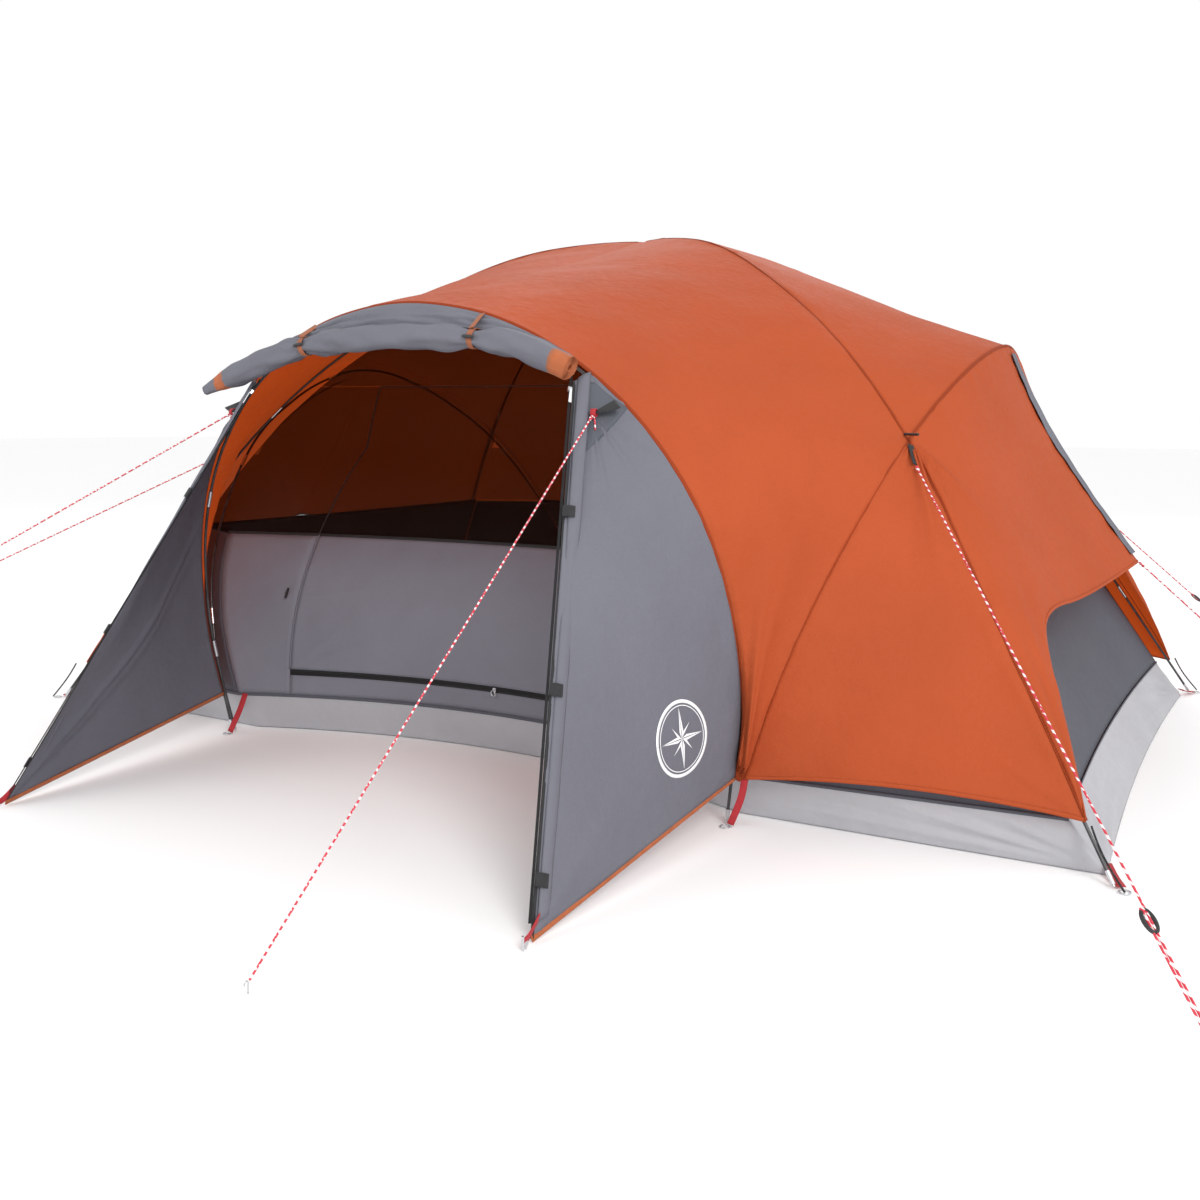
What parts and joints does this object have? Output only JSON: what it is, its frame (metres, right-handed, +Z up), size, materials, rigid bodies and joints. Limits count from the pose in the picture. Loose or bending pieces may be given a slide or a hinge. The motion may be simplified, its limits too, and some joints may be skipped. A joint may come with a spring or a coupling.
{
  "type": "dome tent",
  "caption": "Pitched family dome tent: bent pole frame, orange and grey flysheet with open front porch and side awnings, mesh inner tent, tub floor, zips and guy lines.",
  "frame": {"origin": "middle of the floor, on the ground", "axes": "+Z up, -Y towards the open front porch, +X towards the tent's right-hand side as seen from the front"},
  "size_m": [5.1568, 4.876, 1.8943],
  "materials": {
    "orange_fly": "coated polyester, soft sheen",
    "grey_fly": "coated polyester, soft sheen",
    "mesh": "fine netting",
    "tub_cloth": "coated floor cloth, satin",
    "black_tape": "woven tape",
    "red_tape": "woven webbing",
    "pole": "satin black",
    "bright_metal": "satin",
    "pull": "moulded",
    "badge": "printed",
    "guy_cord": "braided cord"
  },
  "bodies": {
    "tent": {"awning_flaps": "grey_fly", "back_wall_cloth": "grey_fly", "back_wall_mesh": "mesh", "corner_wall_cloth": "grey_fly", "corner_wall_mesh": "mesh", "diagonal_pole_over": "pole", "diagonal_pole_under": "pole", "door_tie_toggle": "black_tape", "door_zip_chain": "black_tape", "flap_tabs": "black_tape", "floor_tub": "tub_cloth", "fly_back_panel": "orange_fly", "fly_corner_panels": "orange_fly", "fly_front_roof": "orange_fly", "fly_left_roof": "orange_fly", "fly_right_roof": "orange_fly", "front_arch_pole": "pole", "front_wall_cloth": "grey_fly", "front_wall_mesh": "mesh", "guy_awning_right": "guy_cord", "guy_front_left": "guy_cord", "guy_front_right": "guy_cord", "guy_hub_back_right": "guy_cord", "guy_hub_front_left": "guy_cord", "guy_hub_front_right": "guy_cord", "guy_loops": "red_tape", "guy_pegs": "bright_metal", "hem_elastics": "black_tape", "hub_toggles": "black_tape", "lamp_loop": "black_tape", "left_awning": "orange_fly", "left_side_pole": "pole", "left_wing": "grey_fly", "left_zip_chain": "black_tape", "pole_end_tips": "bright_metal", "pole_ferrules": "bright_metal", "porch_emblem": "badge", "porch_valance": "grey_fly", "red_straps": "red_tape", "right_awning": "orange_fly", "right_side_pole": "pole", "right_wing": "grey_fly", "right_zip_chain": "black_tape", "ring_pins": "bright_metal", "roll_ties": "red_tape", "rolled_porch_door": "grey_fly", "roof_mesh": "mesh", "side_wall_cloth": "grey_fly", "side_wall_mesh": "mesh", "storm_flaps": "grey_fly", "wing_pegs": "bright_metal"},
    "right_zip_slide": {"right_zip_slider": "bright_metal"},
    "right_pull": {"right_zip_pull": "pull"},
    "left_zip_slide": {"left_zip_slider": "bright_metal"},
    "left_pull": {"left_zip_pull": "pull"},
    "inner_door": {"inner_door_cloth": "grey_fly", "inner_door_mesh": "mesh"},
    "door_zip": {"door_zip_slider": "bright_metal"},
    "runner_front": {"runner_front_right": "pull"},
    "runner_back": {"runner_back_right": "pull"}
  },
  "joints": [
    {"name": "right_zip_travel", "type": "slide", "parent": "tent", "child": "right_zip_slide", "axis": [0.2301, -0.4983, -0.8359], "range_m": [0, 1.25]},
    {"name": "right_pull_swing", "type": "hinge", "parent": "right_zip_slide", "child": "right_pull", "pos_m": [0.61366, -1.58847, 1.2584], "axis": [-0.6604, -0.7108, 0.2419], "range_deg": [0, 75]},
    {"name": "left_zip_travel", "type": "slide", "parent": "tent", "child": "left_zip_slide", "axis": [-0.2301, -0.4983, -0.8359], "range_m": [0, 1.25]},
    {"name": "left_pull_swing", "type": "hinge", "parent": "left_zip_slide", "child": "left_pull", "pos_m": [-0.61366, -1.58847, 1.2584], "axis": [-0.6604, 0.7108, -0.2419], "range_deg": [0, 75]},
    {"name": "inner_door_swing", "type": "hinge", "parent": "tent", "child": "inner_door", "pos_m": [-0.85, -0.6474, 0.236], "axis": [0, 0, 1], "range_deg": [0, 45]},
    {"name": "door_zip_travel", "type": "hinge", "parent": "tent", "child": "door_zip", "pos_m": [0, -3.40978, 0.225], "axis": [0, 0, 1], "range_deg": [-12.2, 19.4]},
    {"name": "front_runner_travel", "type": "slide", "parent": "tent", "child": "runner_front", "axis": [0.4896, -0.7197, -0.4922], "range_m": [-0.25, 0.12]},
    {"name": "back_runner_travel", "type": "slide", "parent": "tent", "child": "runner_back", "axis": [0.5765, 0.5641, -0.5912], "range_m": [-0.25, 0.12]}
  ]
}
